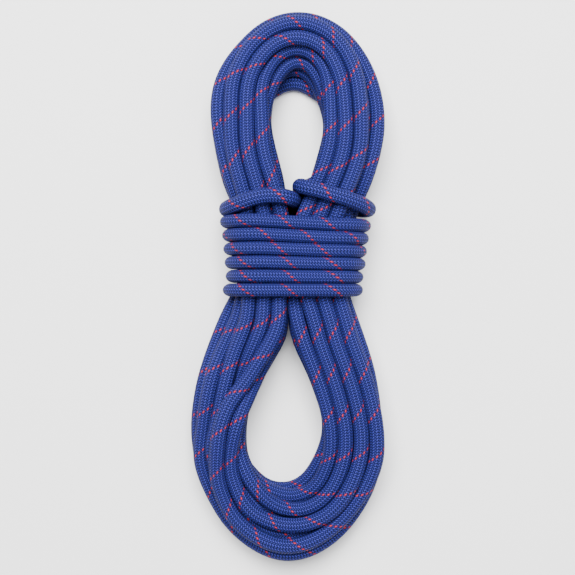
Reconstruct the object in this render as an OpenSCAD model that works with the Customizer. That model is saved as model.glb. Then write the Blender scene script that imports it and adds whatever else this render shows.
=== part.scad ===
// Dynamic climbing rope made up as a gasket coil: a skein of turns lying on its
// back, tied at the waist with six wraps, and locked by a bight that comes out
// of the upper eye and passes round the neck of the skein.
// +Z is up, the head loop points along +Y and the foot loop along -Y.

/* [Rope] */
// Diameter of the rope
rope_d = 9.8; // [9.4:0.1:10]
// Bore of the sheath, which the core strands fill
core_d = 7.6; // [7:0.1:8]
// Diameter of one twisted core strand
strand_d = 1.84; // [1.5:0.02:1.86]
// Outside diameter of the shrink sleeve on each end
sleeve_d = 10.8; // [10.6:0.1:11]
// Length of the straight, finished end of the rope
end_len = 28; // [20:1:30]

/* [Skein] */
// Thickness of the skein inside the wraps
skein_t = 35.6; // [34:0.2:36]
// Width of the skein inside the wraps
skein_w = 66; // [60:1:67]
// Thickness of the head and foot loops at their bends
bend_t = 38; // [30:1:42]
// Outer radius of the head loop
head_r = 56.2; // [50:0.2:58]
// Radius of the upper eye
head_eye_r = 17.6; // [14:0.2:20]
// Outer radius of the foot loop
foot_r = 62; // [56:0.5:62.5]
// Radius of the lower eye
foot_eye_r = 24.8; // [20:0.2:27]

/* [Waist wraps] */
// Height of one wrap along the skein, pressed by its neighbours
wrap_h = 8.4; // [8:0.1:8.5]
// Thickness of one wrap away from the skein
wrap_t = 10.4; // [9:0.1:10.4]
// Distance from one wrap to the next
wrap_pitch = 8.5; // [8.5:0.1:9]
// Outer width of the wrap nearest the head loop
wrap_w_top = 96; // [92:0.5:98]
// Outer width of the wrap nearest the foot loop
wrap_w_low = 88; // [88:0.5:92]

/* [Foot loop joint] */
// Clearance between the waist and the foot loop
joint_gap = 0.8; // [0.5:0.1:2]

/* [Hidden] */

eps = 0.01;
rope_r = rope_d / 2;
wrap_n = 6;

// Levels above the floor: wraps pass under the skein, the skein lies on them
skein_z0 = 10.6;
skein_z1 = skein_z0 + skein_t;
mid_z = skein_z0 + skein_t / 2;

// Places along the skein
waist_x = 4.5;
waist_y0 = -7;
waist_y1 = 45;
wrap_y1 = 40.5;
neck_y0 = waist_y1;
neck_y1 = 66;
arm_z0 = sleeve_d + 0.4;
crown_y = 118;
throat_y = waist_y0 - joint_gap - skein_t / 2;
fork_y = -30;
foot_bend_y = -100;

// Outlines of the head loop and its eye
head_c = [6.3, 119.8];
head_eye_c = [6.6, 110];
neck_left_x = [-33.5, -3];
neck_right_x = [13.4, 46];
arms_side = [
    [-39, neck_y1], [-46.5, 92], [-49.8, crown_y],
    [62.4, crown_y], [58.6, 92], [51, neck_y1]
];
head_eye_side = [
    [neck_left_x[1], neck_y1 - 1], [head_eye_c[0] - head_eye_r, head_eye_c[1]],
    [head_eye_c[0] + head_eye_r, head_eye_c[1]], [neck_right_x[0], neck_y1 - 1]
];

// Outlines of the foot loop and its eye
foot_c = [0, -114];
foot_eye_c = [-2.2, -100];
foot_side = [
    [-48, fork_y], [-59, -65], [foot_c[0] - foot_r, foot_c[1]],
    [foot_c[0] + foot_r, foot_c[1]], [60, -65], [49, fork_y]
];
foot_eye_side = [
    [0, fork_y + 1], [-20, -66], [foot_eye_c[0] - foot_eye_r, foot_eye_c[1]],
    [foot_eye_c[0] + foot_eye_r, foot_eye_c[1]], [15.5, -66], [3, fork_y + 1]
];

// Route of the locking bight, from the last wrap through the upper eye to the front,
// round the left of the neck, behind it, round the right, and back through the eye
leg_left_route = [
    [4.4, 44.7, 5.4], [3.4, 49, 7.6], [3.2, 52, 12.2], [3.4, 53.8, 18], [3.7, 54.6, 25],
    [3.9, 55, 32], [3.9, 55.2, 38.6], [3.1, 55.6, 44.4], [0.3, 56.4, 49], [-4.8, 57.2, 51.9]
];
collar_left_route = [
    [-4.8, 57.2, 51.9], [-12, 57.4, 52.4], [-20, 56.2, 52], [-28, 53.6, 49.5], [-34, 51.6, 44.5],
    [-38, 50.4, 37], [-39, 50, 28.4], [-38, 50.4, 20]
];
collar_back_route = [
    [-38, 50.4, 20], [-34.6, 51.6, 11.5], [-28, 54, 6.6], [-18, 57, 4.9], [-6, 58.6, 4.9],
    [6, 58, 4.9], [18, 55.6, 4.9], [30, 53.4, 5], [41, 51.8, 7.2], [48.4, 50.4, 13], [51.2, 50, 21]
];
collar_right_route = [
    [51.2, 50, 21], [51.8, 50, 30], [50, 50.8, 39], [45, 52.8, 47], [37, 55.6, 51.8],
    [27, 58.4, 53.6], [20.4, 60.4, 53.5], [15.8, 61.6, 52.6]
];
leg_right_route = [
    [15.8, 61.6, 52.6], [11.7, 62.6, 50.1], [8.9, 63.5, 46.2], [7.9, 64, 41.3], [7.9, 64, 35],
    [7.9, 64, 26], [8.1, 64, 18], [9.6, 64.6, 11.4]
];
tail_finish_route = [
    [9.6, 64.6, 11.4], [13.4, 66.2, 7.2], [18.4, 68.8, 5.5], [23.6, 72.2, 5.4], [28, 77, 5.4]
];
tail_start_route = [[-14.5, 70, 9.4], [-16.6, 75, 7], [-19.5, 80.5, 5.6], [-23, 86, 5.4]];

// Turn of the finish end and of the start end, in plan
tail_turn = [-35, 12];

tube_sides = 10;

function unit(v) = v / norm(v);

// Direction of a route at one of its points
function heading(route, i) =
    let(a = max(0, i - 1), b = min(len(route) - 1, i + 1)) unit(route[b] - route[a]);

// Sideways direction, kept level where the route allows it
function sideways(dir) =
    let(flat = norm([dir[0], dir[1]]))
    flat > 0.3 ? unit(cross(dir, [0, 0, 1])) : unit(cross(dir, [0, 1, 0]));

// Directions of a tube at the joint it shares with the next one
function tube_dirs(route, dir_in, dir_out) = [
    for (i = [0 : len(route) - 1])
        i == 0 && dir_in != undef ? dir_in : i == len(route) - 1 && dir_out != undef ? dir_out : heading(route, i)
];

// Each ring's sideways direction is carried along from the last, so the tube never twists
function carried(dirs, i, side) =
    i == len(dirs) ? []
    : let(s = unit(side - dirs[i] * (side * dirs[i]))) concat([s], carried(dirs, i + 1, s));

module tube(route, dir_in, dir_out) {
    n = len(route);
    dirs = tube_dirs(route, dir_in, dir_out);
    sides = carried(dirs, 0, sideways(dirs[0]));
    rings = [
        for (i = [0 : n - 1])
            for (k = [0 : tube_sides - 1])
                let(a = 360 * k / tube_sides)
                route[i] + rope_r * (cos(a) * sides[i] + sin(a) * cross(dirs[i], sides[i]))
    ];
    walls = [
        for (i = [0 : n - 2])
            for (k = [0 : tube_sides - 1])
                let(a = i * tube_sides + k, b = i * tube_sides + (k + 1) % tube_sides)
                each [[a, b + tube_sides, b], [a, a + tube_sides, b + tube_sides]]
    ];
    caps = [
        [for (k = [0 : tube_sides - 1]) k],
        [for (k = [tube_sides - 1 : -1 : 0]) (n - 1) * tube_sides + k]
    ];
    polyhedron(points = rings, faces = concat(walls, caps));
}

// Direction shared by two tubes where one route ends and the next begins
function shared_dir(a, b) = unit(b[1] - a[len(a) - 2]);

dir_a = shared_dir(leg_left_route, collar_left_route);
dir_b = shared_dir(collar_left_route, collar_back_route);
dir_c = shared_dir(collar_back_route, collar_right_route);
dir_d = shared_dir(collar_right_route, leg_right_route);
dir_e = shared_dir(leg_right_route, tail_finish_route);

module level_slab(z0, z1) {
    translate([0, 0, z0]) linear_extrude(z1 - z0) children();
}

// A bar along Y with round sides, as the skein is inside the wraps
module round_bar(x0, x1, y0, y1, t) {
    r = t / 2;
    translate([0, y1, mid_z]) rotate([90, 0, 0]) linear_extrude(y1 - y0) {
        translate([x0 + r, -r]) square([x1 - x0 - t, t]);
        translate([x0 + r, 0]) circle(r = r, $fn = 96);
        translate([x1 - r, 0]) circle(r = r, $fn = 96);
    }
}

module waist_skein() {
    color("#3a4a8c") round_bar(waist_x - skein_w / 2, waist_x + skein_w / 2, waist_y0, waist_y1, skein_t);
}

module neck_half(x0, x1, keep_x0, keep_x1) {
    color("#3a4a8c") intersection() {
        round_bar(x0, x1, neck_y0, neck_y1, skein_t);
        translate([keep_x0, neck_y0, 0]) cube([keep_x1 - keep_x0, neck_y1 - neck_y0, 100]);
    }
}

module neck_left() {
    neck_half(neck_left_x[0], neck_left_x[1] + skein_t, neck_left_x[0], neck_left_x[1]);
}

module neck_right() {
    neck_half(neck_right_x[0] - skein_t, neck_right_x[1], neck_right_x[0], neck_right_x[1]);
}

module head_eye_outline() {
    translate(head_eye_c) circle(r = head_eye_r, $fn = 96);
    polygon(head_eye_side);
}

module head_arm(x0, x1) {
    color("#4356a0") level_slab(arm_z0, skein_z1) difference() {
        intersection() {
            polygon(arms_side);
            translate([x0, neck_y1]) square([x1 - x0, crown_y - neck_y1]);
        }
        head_eye_outline();
    }
}

module head_arm_left() {
    head_arm(-80, head_eye_c[0]);
}

module head_arm_right() {
    head_arm(head_eye_c[0], 80);
}

module head_crown() {
    color("#4a5eac") level_slab(0, bend_t) difference() {
        intersection() {
            translate(head_c) circle(r = head_r, $fn = 128);
            translate([-80, crown_y]) square([160, 80]);
        }
        head_eye_outline();
    }
}

// Section of one wrap: flat where it meets its neighbours, round outside
module wrap_section() {
    flat = wrap_t - wrap_h;
    square([flat, wrap_h], center = true);
    translate([flat / 2, 0]) circle(d = wrap_h, $fn = 48);
    translate([-flat / 2, 0]) circle(d = wrap_h, $fn = 48);
}

module wrap_side(x, turn) {
    translate([x, 0, 0]) rotate([90, turn, 0])
        rotate_extrude(angle = 180, $fn = 96) translate([skein_t / 2 + 0.2 + wrap_t / 2, 0]) wrap_section();
}

module wrap_run(half_len, z) {
    translate([-half_len, 0, z]) rotate([90, 0, 90]) linear_extrude(2 * half_len)
        rotate([0, 0, 90]) wrap_section();
}

module waist_wrap(k) {
    outer_w = wrap_w_top + (wrap_w_low - wrap_w_top) * (k - 1) / (wrap_n - 1);
    run_r = skein_t / 2 + 0.2 + wrap_t / 2;
    half_len = outer_w / 2 - run_r - wrap_t / 2;
    color(k % 2 == 0 ? "#3f52a0" : "#4a5cb0")
        translate([waist_x, wrap_y1 - (k - 1) * wrap_pitch, mid_z]) {
            wrap_side(half_len, 90);
            wrap_side(-half_len, -90);
            wrap_run(half_len, run_r);
            wrap_run(half_len, -run_r);
        }
}

module lock_leg_left() {
    color("#5468b8") tube(leg_left_route, [0, 1, 0], dir_a);
}

module collar_left() {
    color("#5468b8") tube(collar_left_route, dir_a, dir_b);
}

module collar_back() {
    color("#5468b8") tube(collar_back_route, dir_b, dir_c);
}

module collar_right() {
    color("#5468b8") tube(collar_right_route, dir_c, dir_d);
}

module lock_leg_right() {
    color("#5468b8") tube(leg_right_route, dir_d, dir_e);
}

// A finished rope end starts at the last point of its tail and lies level
module at_end(route, turn) {
    translate(route[len(route) - 1]) rotate([0, 0, turn]) rotate([-90, 0, 0]) children();
}

function end_dir(turn) = [-sin(turn), cos(turn), 0];

module tail_finish() {
    color("#5468b8") tube(tail_finish_route, dir_e, end_dir(tail_turn[0]));
}

module tail_start() {
    color("#5468b8") tube(tail_start_route, heading(tail_start_route, 0), end_dir(tail_turn[1]));
}

module sheath_end() {
    difference() {
        cylinder(d = rope_d, h = end_len, $fn = 64);
        translate([0, 0, -eps]) cylinder(d = core_d, h = end_len + 2 * eps, $fn = 64);
    }
}

// Twelve twisted strands: three in the middle and nine round them
module core_strands() {
    inner_ring = strand_d * 0.6;
    outer_ring = (core_d - strand_d) / 2 - 0.02;
    for (a = [0 : 120 : 240]) rotate(a) translate([inner_ring, 0, 0]) cylinder(d = strand_d, h = end_len, $fn = 24);
    for (a = [20 : 40 : 340]) rotate(a) translate([outer_ring, 0, 0]) cylinder(d = strand_d, h = end_len, $fn = 24);
}

// Sheath and core melted together into one smooth cap
module end_seal() {
    round_r = 1.2;
    seal_h = 3;
    translate([0, 0, end_len]) rotate_extrude($fn = 64) {
        square([rope_r - round_r, seal_h]);
        square([rope_r, seal_h - round_r]);
        translate([rope_r - round_r, seal_h - round_r]) circle(r = round_r, $fn = 48);
    }
}

module end_sleeve() {
    sleeve_gap = 1.5;
    translate([0, 0, sleeve_gap]) difference() {
        cylinder(d = sleeve_d, h = end_len - 2 * sleeve_gap, $fn = 64);
        translate([0, 0, -eps]) cylinder(d = rope_d, h = end_len, $fn = 64);
    }
}

module finish_sheath_end() {
    color("#4356a0") at_end(tail_finish_route, tail_turn[0]) sheath_end();
}

module finish_core_strands() {
    color("white") at_end(tail_finish_route, tail_turn[0]) core_strands();
}

module finish_end_seal() {
    color("#20284c") at_end(tail_finish_route, tail_turn[0]) end_seal();
}

module finish_end_sleeve() {
    color("#222222") at_end(tail_finish_route, tail_turn[0]) end_sleeve();
}

module start_sheath_end() {
    color("#4356a0") at_end(tail_start_route, tail_turn[1]) sheath_end();
}

module start_core_strands() {
    color("white") at_end(tail_start_route, tail_turn[1]) core_strands();
}

module start_end_seal() {
    color("#20284c") at_end(tail_start_route, tail_turn[1]) end_seal();
}

module start_end_sleeve() {
    color("#222222") at_end(tail_start_route, tail_turn[1]) end_sleeve();
}

// The top of the foot loop is round about the joint axis, so it turns under the waist
module foot_throat() {
    r = skein_t / 2;
    color("#3a4a8c") {
        intersection() {
            translate([-44, throat_y, mid_z]) rotate([0, 90, 0]) cylinder(r = r, h = 90, $fn = 96);
            translate([-60, throat_y, 0]) cube([120, skein_t, 80]);
        }
        translate([-46, fork_y, skein_z0]) cube([93, throat_y - fork_y, skein_t]);
    }
}

module foot_outline() {
    difference() {
        union() {
            polygon(foot_side);
            translate(foot_c) circle(r = foot_r, $fn = 128);
        }
        polygon(foot_eye_side);
        translate(foot_eye_c) circle(r = foot_eye_r, $fn = 96);
    }
}

module foot_part(x0, x1, y0, y1, z0, z1) {
    color("#4356a0") level_slab(z0, z1) intersection() {
        foot_outline();
        translate([x0, y0]) square([x1 - x0, y1 - y0]);
    }
}

module foot_arm_left() {
    foot_part(-80, 1.5, foot_bend_y, fork_y, skein_z0 - 5, skein_z1 - 3);
}

module foot_arm_right() {
    foot_part(1.5, 80, foot_bend_y, fork_y, skein_z0 - 5, skein_z1 - 3);
}

module foot_bend() {
    foot_part(-80, 80, -200, foot_bend_y, 0, bend_t);
}

waist_skein();
neck_left();
neck_right();
head_arm_left();
head_arm_right();
head_crown();
waist_wrap(1);  // waist_wrap_1
waist_wrap(2);  // waist_wrap_2
waist_wrap(3);  // waist_wrap_3
waist_wrap(4);  // waist_wrap_4
waist_wrap(5);  // waist_wrap_5
waist_wrap(6);  // waist_wrap_6
lock_leg_left();
collar_left();
collar_back();
collar_right();
lock_leg_right();
tail_finish();
tail_start();
finish_sheath_end();
finish_core_strands();
finish_end_seal();
finish_end_sleeve();
start_sheath_end();
start_core_strands();
start_end_seal();
start_end_sleeve();
foot_throat();
foot_arm_left();
foot_arm_right();
foot_bend();
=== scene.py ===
"""A bundled climbing rope: one braided rope, coiled, wrapped six times and locked with a bight."""
import math

import bpy
import numpy as np
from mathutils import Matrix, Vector


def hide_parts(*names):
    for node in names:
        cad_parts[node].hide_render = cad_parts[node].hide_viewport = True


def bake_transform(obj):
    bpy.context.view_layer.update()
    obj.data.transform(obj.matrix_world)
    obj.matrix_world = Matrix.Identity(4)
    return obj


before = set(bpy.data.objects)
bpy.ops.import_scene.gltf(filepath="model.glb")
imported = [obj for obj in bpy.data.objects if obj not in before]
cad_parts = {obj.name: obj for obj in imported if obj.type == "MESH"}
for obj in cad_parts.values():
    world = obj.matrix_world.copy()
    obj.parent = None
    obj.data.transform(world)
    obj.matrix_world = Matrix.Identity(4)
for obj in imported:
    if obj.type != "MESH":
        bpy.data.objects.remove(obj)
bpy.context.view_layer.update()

MM = 0.001

# ---------------------------------------------------------------- camera
# Height of the bundle's middle above the floor, in mm
MID_Z = 28.4
# Width of the view at the bundle's middle and the camera's height above it, in metres
VIEW_WIDTH = 0.368
CAMERA_HEIGHT = 0.90
SENSOR_WIDTH = 36


def add_camera():
    data = bpy.data.cameras.new("camera")
    data.sensor_width = SENSOR_WIDTH
    data.lens = SENSOR_WIDTH * CAMERA_HEIGHT / VIEW_WIDTH
    data.clip_start = 0.05
    camera = bpy.data.objects.new("camera", data)
    bpy.context.scene.collection.objects.link(camera)
    camera.location = (0, 0, MID_Z * MM + CAMERA_HEIGHT)
    bpy.context.scene.camera = camera


add_camera()

# ---------------------------------------------------------------- rope sizes, in mm
ROPE_D = 9.8
ROPE_R = ROPE_D / 2
TURNS = 13
# Width and thickness of a wrap, which is pressed between its neighbours
WRAP_W = 8.4
WRAP_T = 10.4
# Length of rope inside each end fitting
END_LEN = 28
# Distance between the nodes that settle, and between the rings of the mesh
NODE_STEP = 4.0
RING_STEP = 2.6
RING_SIDES = 16

# ---------------------------------------------------------------- outlines of the bundle, in mm
# Each station is the outer edge, the inner edge and the height of the underside.
FOOT_STATIONS = [
    ((-38.0, -8.3), (-1.0, -10.0), 10.6),
    ((-43.4, -20.5), (2.4, -26.0), 9.5),
    ((-51.4, -39.3), (-5.0, -39.0), 7.8),
    ((-58.7, -60.8), (-17.0, -60.5), 6.0),
    ((-61.5, -77.8), (-24.6, -77.0), 4.2),
    ((-62.6, -89.0), (-26.6, -89.0), 3.0),
    ((-61.9, -102.2), (-27.0, -100.0), 1.8),
    ((-60.0, -114.4), (-25.8, -109.7), 1.0),
    ((-56.8, -124.8), (-23.5, -115.5), 0.5),
    ((-50.2, -138.9), (-20.0, -121.5), 0.0),
    ((-41.8, -153.0), (-15.5, -125.2), 0.0),
    ((-31.4, -163.2), (-11.0, -127.0), 0.0),
    ((-17.1, -172.6), (-6.0, -127.6), 0.0),
    ((-1.4, -177.4), (-1.5, -127.8), 0.0),
    ((15.3, -174.4), (3.0, -127.2), 0.0),
    ((29.6, -166.2), (7.5, -124.2), 0.0),
    ((40.9, -155.9), (11.2, -120.5), 0.0),
    ((52.1, -139.9), (15.0, -114.6), 0.0),
    ((58.7, -124.8), (17.8, -108.5), 0.5),
    ((61.6, -112.6), (19.8, -102.8), 1.0),
    ((62.2, -102.0), (21.0, -97.0), 1.6),
    ((61.5, -89.2), (22.6, -88.0), 2.6),
    ((60.4, -77.8), (21.0, -77.0), 3.6),
    ((56.9, -55.0), (11.0, -55.5), 5.6),
    ((51.2, -36.5), (4.3, -37.4), 7.6),
    ((46.2, -18.6), (-0.4, -26.0), 9.5),
    ((43.2, -8.3), (0.0, -10.0), 10.6),
]
WAIST_STATIONS = [
    ((40.6, 20.0), (4.5, 20.0), 10.6),
]
HEAD_STATIONS = [
    ((44.5, 46.0), (9.0, 46.5), 10.6),
    ((48.5, 58.0), (12.8, 63.0), 11.2),
    ((53.5, 68.2), (13.6, 70.0), 11.2),
    ((59.0, 85.1), (18.7, 85.0), 11.2),
    ((62.0, 99.2), (23.2, 99.0), 11.2),
    ((62.5, 114.2), (22.5, 111.5), 10.0),
    ((59.2, 131.2), (18.6, 119.5), 7.0),
    ((53.1, 146.1), (15.0, 124.0), 4.5),
    ((43.7, 160.2), (11.8, 127.6), 2.5),
    ((34.8, 168.9), (9.5, 129.2), 1.0),
    ((20.6, 176.2), (6.5, 130.3), 0.0),
    ((6.2, 178.3), (3.5, 130.6), 0.0),
    ((-8.3, 175.6), (0.5, 130.2), 0.0),
    ((-20.6, 168.9), (-3.0, 128.2), 1.0),
    ((-33.3, 155.5), (-6.0, 125.3), 2.5),
    ((-41.8, 144.3), (-8.4, 121.4), 5.0),
    ((-47.8, 130.2), (-9.8, 117.0), 7.5),
    ((-49.8, 114.2), (-11.0, 109.4), 10.0),
    ((-48.3, 99.2), (-10.0, 99.2), 11.2),
    ((-45.0, 82.0), (-5.6, 82.0), 11.2),
    ((-41.2, 68.0), (-2.2, 70.0), 11.2),
    ((-37.6, 57.0), (-0.9, 59.0), 11.0),
    ((-34.0, 46.0), (2.4, 46.0), 10.6),
]

# Where each turn lies in the section at the stations that matter: distance in from the outer edge, height.
FOOT_SLOTS = {
    0: [(24.6, 4.9), (34.0, 4.9), (34.0, 13.7), (34.0, 22.4), (33.2, 31.2),
        (24.6, 22.3), (25.0, 13.6), (15.0, 4.9), (15.4, 13.6),
        (24.0, 31.2), (15.8, 29.0), (7.8, 22.4), (5.0, 12.8)],
    1: [(31.2, 4.9), (42.0, 5.4), (43.6, 15.0), (42.4, 24.3), (38.8, 33.4),
        (22.0, 15.0), (32.0, 14.2), (20.3, 4.9), (10.5, 4.9),
        (28.4, 31.6), (19.2, 27.4), (11.0, 21.6), (5.0, 13.2)],
    2: [(32.5, 4.9), (42.5, 5.2), (43.6, 15.0), (40.2, 24.4), (37.2, 34.0),
        (23.5, 17.5), (33.5, 14.8), (22.5, 4.9), (12.5, 6.0),
        (28.4, 30.5), (19.4, 28.0), (10.2, 23.4), (5.0, 15.0)],
    3: [(26.0, 4.9), (36.6, 5.6), (35.6, 15.4), (36.8, 25.2), (32.4, 33.6),
        (20.6, 13.2), (10.1, 13.2), (15.3, 4.9), (4.9, 4.9),
        (27.4, 23.0), (20.7, 30.0), (10.5, 30.0), (4.9, 21.5)],
    4: [(25.2, 12.0), (32.1, 5.0), (32.1, 18.6), (30.6, 36.4), (21.8, 38.8),
        (17.8, 19.6), (11.2, 12.2), (18.4, 4.9), (4.9, 4.9),
        (29.8, 27.8), (20.6, 28.8), (10.6, 28.6), (4.9, 20.0)],
    5: [(24.5, 12.0), (31.1, 4.9), (31.1, 19.2), (28.9, 38.4), (19.7, 38.8),
        (17.6, 19.6), (11.5, 12.0), (18.0, 4.9), (4.9, 4.9),
        (30.4, 28.9), (20.6, 29.2), (10.8, 28.0), (4.9, 19.5)],
    7: [(27.0, 4.9), (29.6, 14.0), (29.4, 23.5), (23.5, 31.5), (14.3, 32.5), (21.0, 20.5), (19.8, 11.5),
        (16.0, 4.9), (6.0, 5.2), (10.5, 13.0), (13.0, 22.5), (6.2, 26.5), (4.9, 16.5)],
    10: [(34.0, 6.0), (31.8, 15.8), (28.0, 26.3), (19.2, 30.8), (9.6, 30.3), (24.2, 20.0), (19.5, 13.3),
         (24.5, 5.0), (14.8, 5.0), (9.8, 13.4), (14.6, 21.7), (4.9, 21.4), (5.0, 5.0)],
    13: [(43.6, 4.9), (39.4, 14.0), (32.9, 22.6), (25.3, 31.2), (11.4, 32.2), (24.0, 14.0), (34.0, 4.9),
         (24.4, 4.9), (14.8, 4.9), (10.2, 13.8), (18.2, 23.2), (4.9, 24.3), (5.0, 5.0)],
    16: [(41.2, 12.0), (33.8, 22.0), (26.0, 28.3), (17.2, 33.0), (10.8, 26.5), (25.5, 18.0), (35.0, 5.2),
         (25.0, 5.0), (15.0, 5.0), (12.0, 14.2), (18.5, 22.8), (4.9, 18.5), (5.0, 8.0)],
    19: [(38.0, 18.5), (34.2, 28.3), (25.0, 32.0), (15.1, 32.2), (5.4, 28.5), (24.5, 22.0), (32.0, 10.5),
         (23.5, 12.0), (15.0, 4.9), (14.2, 12.8), (14.0, 22.0), (5.0, 18.3), (5.0, 8.3)],
    21: [(33.4, 19.8), (33.3, 29.6), (23.8, 32.2), (14.3, 32.4), (5.2, 30.0), (24.5, 22.3), (29.5, 10.5),
         (20.5, 12.5), (13.0, 13.0), (14.8, 22.5), (6.2, 20.5), (4.9, 11.2), (9.5, 4.9)],
    24: [(42.0, 21.5), (38.0, 31.0), (28.6, 32.4), (20.0, 33.0), (11.8, 31.2), (28.0, 22.5), (36.5, 12.5),
         (27.0, 12.0), (17.5, 13.0), (15.5, 22.0), (5.2, 25.5), (5.5, 15.8), (13.0, 4.9)],
    25: [(41.2, 21.5), (37.3, 30.6), (27.3, 31.5), (18.0, 31.6), (9.6, 30.2), (26.0, 22.0), (35.0, 12.0),
         (26.0, 12.5), (16.0, 13.0), (15.5, 22.0), (4.9, 22.0), (5.2, 13.5), (12.0, 2.0)],
    26: [(37.0, 19.8), (37.2, 29.8), (28.2, 31.3), (18.8, 31.5), (9.8, 31.0), (24.0, 22.0), (33.0, 10.2),
         (24.0, 12.3), (14.8, 12.5), (14.2, 21.8), (4.9, 23.0), (5.2, 13.5), (12.0, 0.0)],
}
WAIST_SLOTS = {
    0: [(31.0, 11.5), (31.2, 21.4), (33.0, 31.0), (24.8, 31.0), (8.0, 30.5), (22.5, 21.8), (26.5, 4.9),
        (21.5, 12.5), (13.0, 11.5), (17.0, 27.0), (5.0, 21.5), (5.0, 12.0)],
}
HEAD_SLOTS = {
    0: [(30.4, 11.5), (30.4, 21.2), (29.8, 30.8), (20.8, 31.2), (7.6, 26.4), (21.4, 21.6), (26.0, 4.9),
        (21.5, 12.4), (12.8, 12.0), (14.8, 31.2), (4.9, 19.0), (6.0, 9.5)],
    1: [(30.9, 10.8), (30.9, 20.4), (30.6, 29.8), (22.2, 31.4), (10.8, 22.0), (21.2, 21.6), (22.0, 4.9),
        (21.5, 12.3), (12.8, 12.5), (13.4, 31.0), (4.9, 25.0), (4.9, 15.0)],
    3: [(35.4, 10.8), (35.4, 20.4), (32.4, 30.0), (23.0, 32.0), (11.6, 21.8), (22.0, 21.8), (27.0, 4.9),
        (24.0, 12.4), (14.0, 12.2), (13.8, 31.2), (4.9, 25.0), (5.2, 15.0)],
    5: [(35.6, 8.3), (35.6, 18.0), (35.2, 27.8), (26.6, 32.2), (12.4, 24.2), (22.0, 22.5), (27.5, 4.9),
        (24.5, 12.8), (14.5, 14.5), (17.3, 32.8), (4.9, 18.8), (5.5, 9.0)],
    8: [(35.6, 9.5), (32.4, 18.2), (27.0, 26.6), (20.2, 33.4), (13.8, 24.0), (22.6, 16.5), (40.4, 4.9),
        (27.0, 7.0), (17.5, 6.5), (12.0, 32.5), (5.0, 21.0), (9.5, 14.0)],
    11: [(33.8, 9.6), (28.8, 17.6), (23.2, 25.6), (17.9, 33.8), (13.6, 22.6), (19.2, 14.2), (42.0, 4.9),
         (24.2, 5.2), (14.0, 4.9), (8.2, 32.4), (4.9, 22.6), (9.0, 13.4)],
    14: [(33.5, 10.5), (30.5, 19.6), (26.3, 28.0), (19.0, 33.0), (15.8, 23.6), (22.0, 15.0), (35.0, 4.9),
         (25.0, 5.4), (14.5, 7.0), (10.0, 31.3), (4.9, 22.6), (7.0, 13.5)],
    17: [(33.9, 9.0), (33.9, 18.6), (33.4, 28.4), (24.4, 31.6), (19.6, 22.4), (25.0, 13.4), (27.0, 4.9),
         (17.0, 5.0), (12.6, 13.4), (14.8, 31.2), (5.2, 26.0), (5.0, 16.2)],
    19: [(34.3, 12.5), (34.3, 21.8), (29.3, 30.2), (20.0, 32.8), (21.0, 22.4), (24.6, 13.2), (22.4, 4.9),
         (12.8, 5.6), (12.4, 14.8), (10.8, 31.0), (4.9, 22.6), (4.9, 12.8)],
    20: [(33.9, 11.8), (34.1, 21.2), (30.0, 30.2), (21.0, 32.2), (21.6, 22.2), (23.6, 13.0), (19.0, 4.9),
         (12.4, 7.8), (12.8, 17.6), (11.2, 31.0), (4.9, 22.6), (4.9, 12.8)],
    21: [(31.8, 11.0), (31.8, 20.6), (30.6, 30.2), (20.4, 31.6), (21.6, 21.8), (22.0, 12.6), (16.6, 4.9),
         (12.0, 12.4), (12.4, 21.6), (10.2, 30.8), (4.9, 22.6), (4.9, 12.8)],
    22: [(31.4, 11.0), (31.4, 20.6), (29.0, 30.0), (19.4, 31.0), (20.4, 21.4), (21.0, 12.2), (15.0, 4.9),
         (10.8, 12.4), (11.0, 21.6), (9.2, 30.4), (4.9, 22.0), (4.9, 12.2)],
}


def unit(v):
    return v / np.maximum(np.linalg.norm(v, axis=-1, keepdims=True), 1e-9)


def run_along(points):
    """The distance along the points up to each one."""
    return np.concatenate([[0], np.cumsum(np.linalg.norm(np.diff(points, axis=0), axis=1))])


def smoothed(values):
    """The values with each one moved halfway to the middle of its two neighbours."""
    softer = values.copy()
    softer[1:-1] = 0.5 * values[1:-1] + 0.25 * (values[:-2] + values[2:])
    return softer


def lane(stations, slots, turn):
    """The points of one turn at the stations, from its slots at the key ones, and the bundle's edges."""
    keys = sorted(slots)
    inset = np.interp(range(len(stations)), keys, [slots[k][turn][0] for k in keys])
    height = np.interp(range(len(stations)), keys, [slots[k][turn][1] for k in keys])
    points = []
    edges = []
    for (outer, inner, base), d, h in zip(stations, inset, height):
        start = np.array(outer)
        across = np.array(inner) - start
        inward = unit(across)
        place = start + inward * d
        points.append([place[0], place[1], base + h])
        edges.append([*start, *inward, np.linalg.norm(across)])
    return points, edges


# The six wraps from the top one down: ends to the left and right, place of the front run along the bundle,
# and how far it falls from its left to its right end
WRAPS = [
    (-43.2, 53.3, 40.6, 2.6),
    (-41.8, 52.0, 32.2, 2.2),
    (-41.0, 50.7, 23.8, 1.6),
    (-40.2, 49.9, 15.4, 1.0),
    (-39.5, 48.5, 6.9, 0.5),
    (-41.4, 48.2, -1.6, 0.0),
]
# Height of the wraps' back and front runs, and the radius of their corners, along the middle of the rope
BACK_Z = WRAP_T / 2
FRONT_Z = 51.6
CORNER = 19.6
# Where the guide points lie along the back run and the front run, as shares of each
BACK_SHARES = (0.15, 0.5, 0.85)
FRONT_SHARES = np.linspace(0.12, 0.88, 6)


def quarter_turn(place):
    """The points of a quarter turn, from the function that places each angle."""
    return [place(math.radians(angle)) for angle in range(0, 91, 15)]


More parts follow.
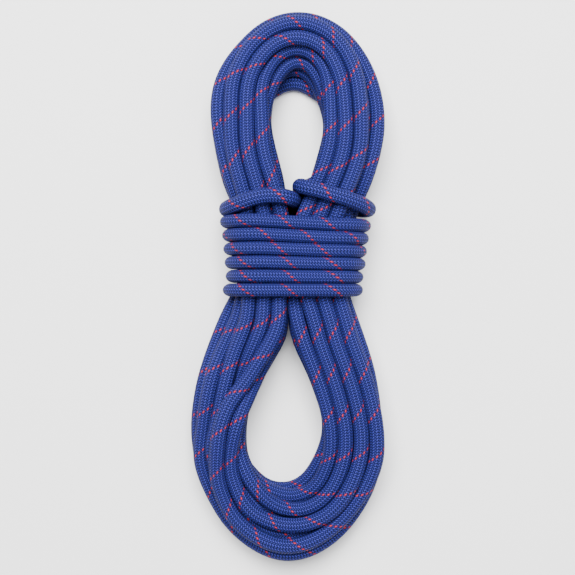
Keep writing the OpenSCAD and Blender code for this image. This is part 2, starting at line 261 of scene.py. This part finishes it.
def wrap_path():
    """The wraps, from the lowest to the top one: back to the left, round, front to the right, round."""
    mid = (BACK_Z + FRONT_Z) / 2
    rise = (FRONT_Z - BACK_Z) / 2 - CORNER
    low = mid - rise
    high = mid + rise
    points = []
    for left, right, y, fall in reversed(WRAPS):
        lo_x = left + WRAP_T / 2
        hi_x = right - WRAP_T / 2
        left_y = y + fall / 2
        right_y = y - fall / 2
        if points:
            last = points[-1]
            for s in BACK_SHARES:
                x = last[0] + (lo_x + CORNER - last[0]) * s
                points.append([x, last[1] + (left_y - last[1]) * s, BACK_Z])
        points += quarter_turn(
            lambda t: [lo_x + CORNER * (1 - math.sin(t)), left_y, low - CORNER * math.cos(t)])
        points += quarter_turn(
            lambda t: [lo_x + CORNER * (1 - math.cos(t)), left_y, high + CORNER * math.sin(t)])
        for s in FRONT_SHARES:
            x = lo_x + CORNER + (hi_x - lo_x - 2 * CORNER) * s
            points.append([x, y + fall * (0.5 - s), FRONT_Z])
        points += quarter_turn(
            lambda t: [hi_x - CORNER * (1 - math.sin(t)), right_y, high + CORNER * math.cos(t)])
        points += quarter_turn(
            lambda t: [hi_x - CORNER * (1 - math.cos(t)), right_y, low - CORNER * math.sin(t)])
    return points


# The bight and both tails: points along the middle of the rope, the same as in the CAD
LEG_LEFT = [
    [4.4, 44.7, 5.4], [3.4, 49, 7.6], [3.2, 52, 12.2], [3.4, 53.8, 18], [3.7, 54.6, 25],
    [3.9, 55, 32], [3.9, 55.2, 38.6], [3.1, 55.6, 44.4], [0.3, 56.4, 49], [-4.8, 57.2, 51.9],
]
COLLAR_LEFT = [
    [-12, 57.4, 52.4], [-20, 56.2, 52], [-28, 53.6, 49.5], [-34, 51.6, 44.5], [-38, 50.4, 37],
    [-39, 50, 28.4], [-38, 50.4, 20],
]
COLLAR_BACK = [
    [-34.6, 51.6, 11.5], [-28, 54, 6.6], [-18, 57, 4.9], [-6, 58.6, 4.9], [6, 58, 4.9],
    [18, 55.6, 4.9], [30, 53.4, 5], [41, 51.8, 7.2], [48.4, 50.4, 13], [51.2, 50, 21],
]
COLLAR_RIGHT = [
    [51.8, 50, 30], [50, 50.8, 39], [45, 52.8, 47], [37, 55.6, 51.8], [27, 58.4, 53.6],
    [20.4, 60.4, 53.5], [15.8, 61.6, 52.6],
]
LEG_RIGHT = [
    [11.7, 62.6, 50.1], [8.9, 63.5, 46.2], [7.9, 64, 41.3], [7.9, 64, 35], [7.9, 64, 26],
    [8.1, 64, 18], [9.6, 64.6, 11.4],
]
TAIL_FINISH = [
    [13.4, 66.2, 7.2], [18.4, 68.8, 5.5], [23.6, 72.2, 5.4], [28, 77, 5.4],
]
TAIL_START = [[-14.5, 70, 9.4], [-16.6, 75, 7], [-19.5, 80.5, 5.6], [-23, 86, 5.4]]
# Turn of each rope end in plan, in degrees
FINISH_TURN = -35
START_TURN = 12

# Where the start tail joins the first turn, the last turn joins the wraps, and the wraps join the left leg
START_JOIN = [[-11.8, 58.0, 14.0]]
WRAPS_JOIN = [
    [37.5, -38.0, 10.5], [31.0, -24.5, 7.6], [20.0, -13.5, 5.6], [6.0, -7.4, 5.2], [-10.0, -4.0, 5.2],
]
LEG_JOIN = [[22.0, 39.2, 5.2], [14.8, 39.0, 5.2], [8.8, 40.4, 5.2]]
# The last turn follows this many of the foot loop's stations
LAST_TURN_STATIONS = 24

# What holds a guide point: nothing, its own place, or its place in a wrap
FREE = 0
HELD = 1
IN_WRAP = 2
# A guide point's edges are the place of the outer edge, the direction inward and the depth to the inner edge,
# which is negative where there are none
NO_EDGES = [0.0, 0.0, 0.0, 0.0, -1.0]
# A node takes the edges around it only where both guide points beside it have them
EDGES_KNOWN = 0.999
# Points of the smooth curve for each step along it, and smoothing passes before the strands settle
FINE_POINTS = 4
FIRST_SMOOTHINGS = 8


def straight_end(last, turn):
    """The stretch that each end fitting covers, straight on from the last point of its tail."""
    a = math.radians(turn)
    onward = np.array([-math.sin(a), math.cos(a), 0])
    return [list(np.array(last) + onward * (END_LEN * quarter / 4)) for quarter in (1, 2, 3, 4)]


def resample(points, step):
    """Points evenly spaced along a smooth curve through the given ones, with each one's place among them."""
    p = np.array(points, float)
    ext = np.vstack([2 * p[0] - p[1], p, 2 * p[-1] - p[-2]])
    knots = np.concatenate([[0], np.cumsum(np.linalg.norm(np.diff(ext, axis=0), axis=1) ** 0.5)])
    fine = []
    where = []
    for i in range(1, len(ext) - 2):
        t0, t1, t2, t3 = knots[i - 1:i + 3]
        p0, p1, p2, p3 = ext[i - 1:i + 3]
        n = max(2, int(np.linalg.norm(p2 - p1) / step * FINE_POINTS))
        for s in np.arange(n) / n:
            t = t1 + (t2 - t1) * s
            a1 = (t1 - t) / (t1 - t0) * p0 + (t - t0) / (t1 - t0) * p1
            a2 = (t2 - t) / (t2 - t1) * p1 + (t - t1) / (t2 - t1) * p2
            a3 = (t3 - t) / (t3 - t2) * p2 + (t - t2) / (t3 - t2) * p3
            b1 = (t2 - t) / (t2 - t0) * a1 + (t - t0) / (t2 - t0) * a2
            b2 = (t3 - t) / (t3 - t1) * a2 + (t - t1) / (t3 - t1) * a3
            fine.append((t2 - t) / (t2 - t1) * b1 + (t - t1) / (t2 - t1) * b2)
            where.append(i - 1 + s)
    fine.append(p[-1])
    where.append(len(p) - 1)
    fine = np.array(fine)
    run = run_along(fine)
    n = max(2, int(round(run[-1] / step)) + 1)
    at = np.linspace(0, run[-1], n)
    even = np.stack([np.interp(at, run, fine[:, k]) for k in range(3)], 1)
    return even, np.interp(at, run, where)


def rope_route():
    """Guide points of the whole rope in order, what holds each one, and the bundle's edges there."""
    points = []
    held = []
    edges = []

    def add(some, how, sides=None):
        points.extend([list(map(float, q)) for q in some])
        held.extend([how] * len(some))
        edges.extend(sides if sides is not None else [NO_EDGES] * len(some))

    start = straight_end(TAIL_START[-1], START_TURN)
    add(start[::-1] + TAIL_START[::-1], HELD)
    add(START_JOIN, FREE)
    for turn in range(TURNS):
        foot, foot_edges = lane(FOOT_STATIONS, FOOT_SLOTS, turn)
        if turn == TURNS - 1:
            add(foot[:LAST_TURN_STATIONS], FREE, foot_edges[:LAST_TURN_STATIONS])
            break
        add(foot, FREE, foot_edges)
        add(lane(WAIST_STATIONS, WAIST_SLOTS, turn)[0], FREE)
        head, head_edges = lane(HEAD_STATIONS, HEAD_SLOTS, turn)
        add(head, FREE, head_edges)
    add(WRAPS_JOIN, HELD)
    add(wrap_path() + LEG_JOIN, IN_WRAP)
    add(LEG_LEFT + COLLAR_LEFT + COLLAR_BACK + COLLAR_RIGHT + LEG_RIGHT + TAIL_FINISH, HELD)
    add(straight_end(TAIL_FINISH[-1], FINISH_TURN), HELD)
    return points, held, edges


def main_path():
    """The rope's nodes before they settle, what holds each one, and the bundle's edges there."""
    points, held, edges = rope_route()
    path, where = resample(points, NODE_STEP)
    kind = np.array(held)[np.clip(np.rint(where).astype(int), 0, len(held) - 1)]
    table = np.array(edges)
    side = np.stack([np.interp(where, np.arange(len(table)), table[:, k]) for k in range(5)], 1)
    known = (table[:, 4] > 0).astype(float)
    side[np.interp(where, np.arange(len(table)), known) < EDGES_KNOWN, 4] = -1
    for _ in range(FIRST_SMOOTHINGS):
        path = np.where((kind == FREE)[:, None], smoothed(path), path)
    return path, kind, side


# ---------------------------------------------------------------- settling of the strands, in mm
FULL_ROUNDS = 300
# The last rounds don't smooth, and the first share of all rounds pulls the strands back to their guides
UNSMOOTHED_ROUNDS = 12
PULLED_SHARE = 0.6
PULL = 0.985
# How often pairs are looked for, how near they lie, and how far apart along the rope
PAIR_ROUNDS = 8
PAIR_REACH = ROPE_D + 3
PAIR_APART = 5 * ROPE_D
# Strands in the upper half are seen, so they move less than those below
UPPER_Z = 28
UPPER_WEIGHT = 0.2
# Distance kept between strands beyond a diameter, and the share of what is missing that a push makes up
CLEARANCE = 0.05
PUSH_SHARE = 0.9
# The pushes on one node are divided by this share of their number
CROWD_SHARE = 0.45
# The share of the way back in that a strand beyond an edge moves in a round
SIDE_SHARE = 0.5
# Smoothing passes after the last round
LAST_SMOOTHINGS = 3
# The room inside the wraps: middle and half width at the lowest wrap and how much both grow to the top one
WAIST_X = 3.4
WAIST_X_GROWTH = 1.6
WAIST_HALF_W = 34.8
WAIST_HALF_W_GROWTH = 2.9
WAIST_HALF_T = 17.8
WAIST_CORNER = 13.0
WAIST_LOW_Y = -1.6
WAIST_LEN = 42.2
# The wraps hold the strands between these two places, and let go over a short way beyond them
HOLD_FROM_Y = -2
HOLD_TO_Y = 44
HOLD_FADE = 4
HOLD_FADE_ROOM = 16


def confine_sides(p, side, free):
    """Keeps the free strands between the bundle's outer and inner edges."""
    depth = (p[:, 0] - side[:, 0]) * side[:, 2] + (p[:, 1] - side[:, 1]) * side[:, 3]
    wanted = np.clip(depth, ROPE_R, np.maximum(side[:, 4] - ROPE_R, ROPE_R))
    move = np.where(free & (side[:, 4] > 0), wanted - depth, 0) * SIDE_SHARE
    p[:, 0] += move * side[:, 2]
    p[:, 1] += move * side[:, 3]


def confine_waist(p, free):
    """Keeps the free strands inside the tight wraps, a rounded rectangle in section."""
    y = p[:, 1]
    share = np.clip((y - WAIST_LOW_Y) / WAIST_LEN, 0, 1)
    centre = WAIST_X + WAIST_X_GROWTH * share
    flat_x = WAIST_HALF_W + WAIST_HALF_W_GROWTH * share - WAIST_CORNER
    flat_z = WAIST_HALF_T - WAIST_CORNER
    fade = np.clip(np.maximum(HOLD_FROM_Y - y, y - HOLD_TO_Y) / HOLD_FADE, 0, 1)
    dx = p[:, 0] - centre
    dz = p[:, 2] - MID_Z
    past_x = np.abs(dx) - flat_x
    past_z = np.abs(dz) - flat_z
    limit = WAIST_CORNER - ROPE_R + HOLD_FADE_ROOM * fade
    past = np.hypot(np.maximum(past_x, 0), np.maximum(past_z, 0))
    outside = free & (fade < 1) & (past > limit)
    scale = np.where(outside, limit / np.maximum(past, 1e-6), 1.0)
    p[:, 0] = np.where(past_x > 0, centre + np.sign(dx) * (flat_x + past_x * scale), p[:, 0])
    p[:, 2] = np.where(past_z > 0, MID_Z + np.sign(dz) * (flat_z + past_z * scale), p[:, 2])


def neighbour_pairs(p, run):
    """Pairs of nodes that lie near each other but not close along the rope, found block by block."""
    block = 512
    q = p.astype(np.float32)
    square = (q * q).sum(1)
    pairs = []
    for i in range(0, len(q), block):
        apart = square[i:i + block, None] + square[None] - 2 * q[i:i + block] @ q.T
        a, b = np.nonzero(apart < PAIR_REACH * PAIR_REACH)
        a += i
        keep = (b > a) & (run[b] - run[a] > PAIR_APART)
        pairs.append(np.stack([a[keep], b[keep]], 1))
    return np.concatenate(pairs)


def push_apart(p, pairs, weight):
    """Pushes the nodes of each pair that is nearer than a diameter apart, the heavier weight further."""
    a, b = pairs[:, 0], pairs[:, 1]
    d = p[b] - p[a]
    dist = np.linalg.norm(d, axis=1)
    push = np.maximum(ROPE_D + CLEARANCE - dist, 0)
    hit = push > 0
    a, b, d, dist, push = a[hit], b[hit], d[hit], dist[hit], push[hit]
    both = weight[a] + weight[b]
    move = d / np.maximum(dist, 1e-3)[:, None] * push[:, None] * PUSH_SHARE / both[:, None]
    total = np.zeros_like(p)
    for k in range(3):
        total[:, k] = (np.bincount(b, move[:, k] * weight[b], len(p))
                       - np.bincount(a, move[:, k] * weight[a], len(p)))
    count = np.bincount(a, minlength=len(p)) + np.bincount(b, minlength=len(p))
    return p + total / np.maximum(count * CROWD_SHARE, 1)[:, None]


def relax(path, kind, side, rounds):
    """Pushes the free strands apart, round by round, and keeps the changes smooth along the rope."""
    guide = path.copy()
    p = path.copy()
    free = kind == FREE
    wraps = kind == IN_WRAP
    upper = free & (side[:, 4] > 0) & (path[:, 2] > UPPER_Z)
    weight = np.where(upper, UPPER_WEIGHT, np.where(free, 1.0, 0.0))
    run = run_along(path)
    for n in range(rounds):
        if n % PAIR_ROUNDS == 0:
            pairs = neighbour_pairs(p, run)
            pairs = pairs[(weight[pairs[:, 0]] + weight[pairs[:, 1]]) > 0]
            pairs = pairs[~(wraps[pairs[:, 0]] | wraps[pairs[:, 1]])]
        p = push_apart(p, pairs, weight)
        if n < rounds - UNSMOOTHED_ROUNDS:
            pull = PULL if n < rounds * PULLED_SHARE else 1.0
            p = guide + np.where(free[:, None], smoothed(p - guide) * pull, 0)
        p[:, 2] = np.where(free, np.maximum(p[:, 2], ROPE_R), p[:, 2])
        confine_waist(p, free)
        confine_sides(p, side, free)
        p[~free] = guide[~free]
    for _ in range(LAST_SMOOTHINGS):
        p = np.where(free[:, None], smoothed(p), p)
    return p


# ---------------------------------------------------------------- the rope's mesh
# The wraps go round the line between these two places, at the height of the bundle's middle
CORE_X = (-15, 25)


def ring_frames(rings):
    """Two directions across the rope at each ring, which turn as little as they can from one to the next."""
    tangent = unit(np.gradient(rings, axis=0))
    side = np.zeros_like(rings)
    side[0] = unit(np.cross(tangent[0], [0, 0, 1.0]))
    for i in range(1, len(rings)):
        v = side[i - 1] - tangent[i] * np.dot(side[i - 1], tangent[i])
        side[i] = v / np.linalg.norm(v)
    return side, np.cross(tangent, side)


def ring_offsets(rings, outward, squash):
    """The corners of each ring from its middle, thicker outward and narrower along the bundle in a wrap."""
    side, up = ring_frames(rings)
    a = np.arange(RING_SIDES) * 2 * math.pi / RING_SIDES
    offset = (side[:, None] * np.cos(a)[None, :, None] + up[:, None] * np.sin(a)[None, :, None]) * ROPE_R * MM
    offset += (np.einsum("nak,nk->na", offset, outward) * squash[:, 0, None])[..., None] * outward[:, None]
    offset[..., 1] *= (1 + squash[:, 1, None])
    return offset


def tube_faces(n):
    """The four-sided faces between n rings, and a fan of triangles on each end."""
    ring = np.arange(n - 1)[:, None] * RING_SIDES
    k = np.arange(RING_SIDES)[None]
    k2 = (k + 1) % RING_SIDES
    quads = np.stack([ring + k, ring + k2, ring + RING_SIDES + k2, ring + RING_SIDES + k], -1).reshape(-1, 4)
    first = n * RING_SIDES
    last = (n - 1) * RING_SIDES
    faces = quads.tolist()
    faces += [[first, (j + 1) % RING_SIDES, j] for j in range(RING_SIDES)]
    faces += [[first + 1, last + j, last + (j + 1) % RING_SIDES] for j in range(RING_SIDES)]
    return faces


def braid_coords(rings):
    """Texture coordinates of the faces: the share of the way round, and the length along the rope."""
    n = len(rings)
    run = run_along(rings)
    u0 = np.broadcast_to(np.arange(RING_SIDES)[None] / RING_SIDES, (n - 1, RING_SIDES))
    u1 = u0 + 1 / RING_SIDES
    v0 = np.broadcast_to(run[:-1, None], (n - 1, RING_SIDES))
    v1 = np.broadcast_to(run[1:, None], (n - 1, RING_SIDES))
    corners = [np.stack([u0, v0], -1), np.stack([u1, v0], -1), np.stack([u1, v1], -1), np.stack([u0, v1], -1)]
    caps = np.zeros((2 * RING_SIDES * 3, 2))
    return np.vstack([np.stack(corners, 2).reshape(-1, 2), caps])


def rope_mesh(name, rings, outward, squash):
    """A closed tube along the rings, in metres."""
    verts = (rings[:, None] + ring_offsets(rings, outward, squash)).reshape(-1, 3)
    verts = np.vstack([verts, rings[:1], rings[-1:]])
    faces = tube_faces(len(rings))
    mesh = bpy.data.meshes.new(name)
    mesh.from_pydata(verts.tolist(), [], faces)
    layer = mesh.uv_layers.new(name="braid")
    layer.data.foreach_set("uv", braid_coords(rings).astype(np.float32).ravel())
    mesh.polygons.foreach_set("use_smooth", np.ones(len(faces), bool))
    obj = bpy.data.objects.new(name, mesh)
    bpy.context.scene.collection.objects.link(obj)
    return obj


def build_rope():
    """The settled rope and its rings in mm."""
    path, kind, side = main_path()
    relaxed = relax(path, kind, side, FULL_ROUNDS)
    rings, where = resample(relaxed, RING_STEP)
    in_wrap = np.interp(where, np.arange(len(kind)), (kind == IN_WRAP).astype(float))
    squash = np.stack([in_wrap * (WRAP_T / ROPE_D - 1), in_wrap * (WRAP_W / ROPE_D - 1)], 1)
    middle = np.stack([np.clip(rings[:, 0], *CORE_X), rings[:, 1], np.full(len(rings), MID_Z)], 1)
    outward = rings - middle
    outward[:, 1] = 0
    return rope_mesh("rope", rings * MM, unit(outward), squash), rings


rope, rings = build_rope()


# ---------------------------------------------------------------- materials
# The braid: columns of yarn round the rope, the distance from yarn to yarn along it, and how many of these
# distances a yarn climbs in one column
COLUMNS = 24
YARN_PITCH = 1.8 * MM
YARN_SLOPE = 0.625
BRAID_BUMP = 0.35 * MM
# How round a yarn is along and across it, how fast painted shade darkens it to its edges, and how round the
# lit part of a tracer yarn is within its painted shade
ROUND_ALONG = 1.6
ROUND_ACROSS = 0.4
PAINTED_SHADE_POWER = 1.3
DOT_ALONG = 1.3
DOT_ACROSS = 2.2
SHEATH_ROUGHNESS = 0.7
SHEATH_SPECULAR = 0.12
# Colours: the lit blue of a yarn, a painted shaded copy of it for the yarns that lean the other way, painted
# near-black shade for the edges of yarns and the gaps between them, the lit red of the tracer yarn, and
# painted shade at the tracer's edges.
BLUE = (0.041, 0.048, 0.35, 1)
PAINTED_SHADE_BLUE = (0.021, 0.027, 0.19, 1)
PAINTED_GAP_SHADE = (0.0008, 0.0012, 0.007, 1)
TRACER = (0.60, 0.036, 0.055, 1)
TRACER_PAINTED_SHADE = (0.09, 0.010, 0.030, 1)


class Nodes:
    """Short ways to add and join shader nodes."""

    def __init__(self, material):
        material.use_nodes = True
        self.tree = material.node_tree
        self.tree.nodes.clear()

    def add(self, kind, **values):
        node = self.tree.nodes.new(kind)
        for k, v in values.items():
            setattr(node, k, v)
        return node

    def join(self, a, b):
        self.tree.links.new(a, b)

    def math(self, operation, *inputs):
        node = self.add("ShaderNodeMath", operation=operation)
        for socket, value in zip(node.inputs, inputs):
            if isinstance(value, (int, float)):
                socket.default_value = value
            else:
                self.join(value, socket)
        return node.outputs[0]

    def mix(self, factor, a, b):
        node = self.add("ShaderNodeMix", data_type="RGBA")
        for socket, value in ((node.inputs[0], factor), (node.inputs[6], a), (node.inputs[7], b)):
            if isinstance(value, (int, float, tuple)):
                socket.default_value = value
            else:
                self.join(value, socket)
        return node.outputs[2]


def braid_heights(n, across, stripe):
    """How high a yarn stands at each place, and the share of lit red over painted shade on a tracer yarn
    there.
    """
    crown = n.math("SINE", n.math("MULTIPLY", stripe, math.pi))
    arch = n.math("SINE", n.math("MULTIPLY", across, math.pi))
    height = n.math("MULTIPLY", n.math("POWER", crown, ROUND_ALONG), n.math("POWER", arch, ROUND_ACROSS))
    dot = n.math("MULTIPLY", n.math("POWER", crown, DOT_ALONG), n.math("POWER", arch, DOT_ACROSS))
    return height, dot


def braid_material():
    """A braid: its columns hold yarns that lean one way and the other in turn, and one yarn is a tracer. The
    yarns that lean the other way are painted in a shaded copy of the blue, and painted shade darkens every
    yarn to its edges.
    """
    material = bpy.data.materials.new("braided_sheath")
    n = Nodes(material)
    uv = n.add("ShaderNodeUVMap", uv_map="braid")
    split = n.add("ShaderNodeSeparateXYZ")
    n.join(uv.outputs[0], split.inputs[0])
    round_it = n.math("MULTIPLY", split.outputs[0], COLUMNS)
    along_it = n.math("DIVIDE", split.outputs[1], YARN_PITCH)
    across = n.math("FRACT", round_it)
    odd = n.math("FLOORED_MODULO", n.math("FLOOR", round_it), 2.0)
    lean = n.math("MULTIPLY", round_it, YARN_SLOPE)
    one_way = n.math("SUBTRACT", along_it, lean)
    other_way = n.math("ADD", along_it, lean)
    first = n.math("MULTIPLY", odd, one_way)
    second = n.math("MULTIPLY", n.math("SUBTRACT", 1.0, odd), other_way)
    stripe = n.math("FRACT", n.math("ADD", first, second))
    height, dot = braid_heights(n, across, stripe)
    number = n.math("FLOORED_MODULO", n.math("FLOOR", one_way), COLUMNS * YARN_SLOPE)
    is_tracer = n.math("MULTIPLY", n.math("LESS_THAN", number, 0.5), odd)
    # Painted shade: the yarns that lean the other way take a shaded copy of the blue.
    yarn = n.mix(odd, PAINTED_SHADE_BLUE, BLUE)
    # Painted shade: each yarn darkens to near black towards its edges and in the gaps between yarns.
    blue = n.mix(n.math("POWER", height, PAINTED_SHADE_POWER), PAINTED_GAP_SHADE, yarn)
    # Painted shade: the red tracer yarn darkens towards its edges.
    red = n.mix(dot, TRACER_PAINTED_SHADE, TRACER)
    bump = n.add("ShaderNodeBump")
    bump.inputs["Distance"].default_value = BRAID_BUMP
    bump.inputs["Strength"].default_value = 1.0
    n.join(height, bump.inputs["Height"])
    bsdf = n.add("ShaderNodeBsdfPrincipled")
    bsdf.inputs["Roughness"].default_value = SHEATH_ROUGHNESS
    bsdf.inputs["Specular IOR Level"].default_value = SHEATH_SPECULAR
    n.join(n.mix(is_tracer, blue, red), bsdf.inputs["Base Color"])
    n.join(bump.outputs[0], bsdf.inputs["Normal"])
    out = n.add("ShaderNodeOutputMaterial")
    n.join(bsdf.outputs[0], out.inputs[0])
    return material


def plain_material(name, colour, roughness):
    material = bpy.data.materials.new(name)
    n = Nodes(material)
    bsdf = n.add("ShaderNodeBsdfPrincipled")
    bsdf.inputs["Base Color"].default_value = colour
    bsdf.inputs["Roughness"].default_value = roughness
    out = n.add("ShaderNodeOutputMaterial")
    n.join(bsdf.outputs[0], out.inputs[0])
    return material


def paint(obj, material):
    obj.data.materials.clear()
    obj.data.materials.append(material)


paint(rope, braid_material())

# ---------------------------------------------------------------- the rope stands for the CAD's soft solids
FITTINGS = ("end_seal", "end_sleeve")
soft_nodes = [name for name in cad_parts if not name.endswith(FITTINGS)]
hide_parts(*soft_nodes)
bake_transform(rope)

SLEEVE = plain_material("sleeve", (0.02, 0.02, 0.022, 1), 0.35)
SEAL = plain_material("seal", (0.03, 0.035, 0.08, 1), 0.3)
fittings = [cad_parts[n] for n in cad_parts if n.endswith(FITTINGS)]
for part in fittings:
    is_seal = part.name.endswith("end_seal")
    paint(part, SEAL if is_seal else SLEEVE)


# ---------------------------------------------------------------- stage and light
FLOOR_HALF = 3.0
FLOOR_COLOUR = (0.93, 0.93, 0.93, 1)
SKY_STRENGTH = 0.5


def add_floor():
    s = FLOOR_HALF
    mesh = bpy.data.meshes.new("floor")
    mesh.from_pydata([(-s, -s, 0), (s, -s, 0), (s, s, 0), (-s, s, 0)], [], [(0, 1, 2, 3)])
    floor = bpy.data.objects.new("floor", mesh)
    bpy.context.scene.collection.objects.link(floor)
    paint(floor, plain_material("floor", FLOOR_COLOUR, 0.9))


def add_area(name, place, size, power):
    """A square lamp that points at the middle of the floor under the bundle."""
    data = bpy.data.lights.new(name, "AREA")
    data.energy = power
    data.size = size
    lamp = bpy.data.objects.new(name, data)
    bpy.context.scene.collection.objects.link(lamp)
    lamp.location = place
    lamp.rotation_euler = (-Vector(place)).to_track_quat("-Z", "Y").to_euler()


def add_sky():
    world = bpy.data.worlds.new("studio")
    bpy.context.scene.world = world
    world.use_nodes = True
    background = world.node_tree.nodes["Background"]
    background.inputs[0].default_value = (1, 1, 1, 1)
    background.inputs[1].default_value = SKY_STRENGTH


add_floor()
add_area("key", place=(-0.10, 0.60, 1.42), size=0.9, power=82)
add_area("fill", place=(0.7, -0.5, 1.2), size=1.2, power=9)
add_sky()
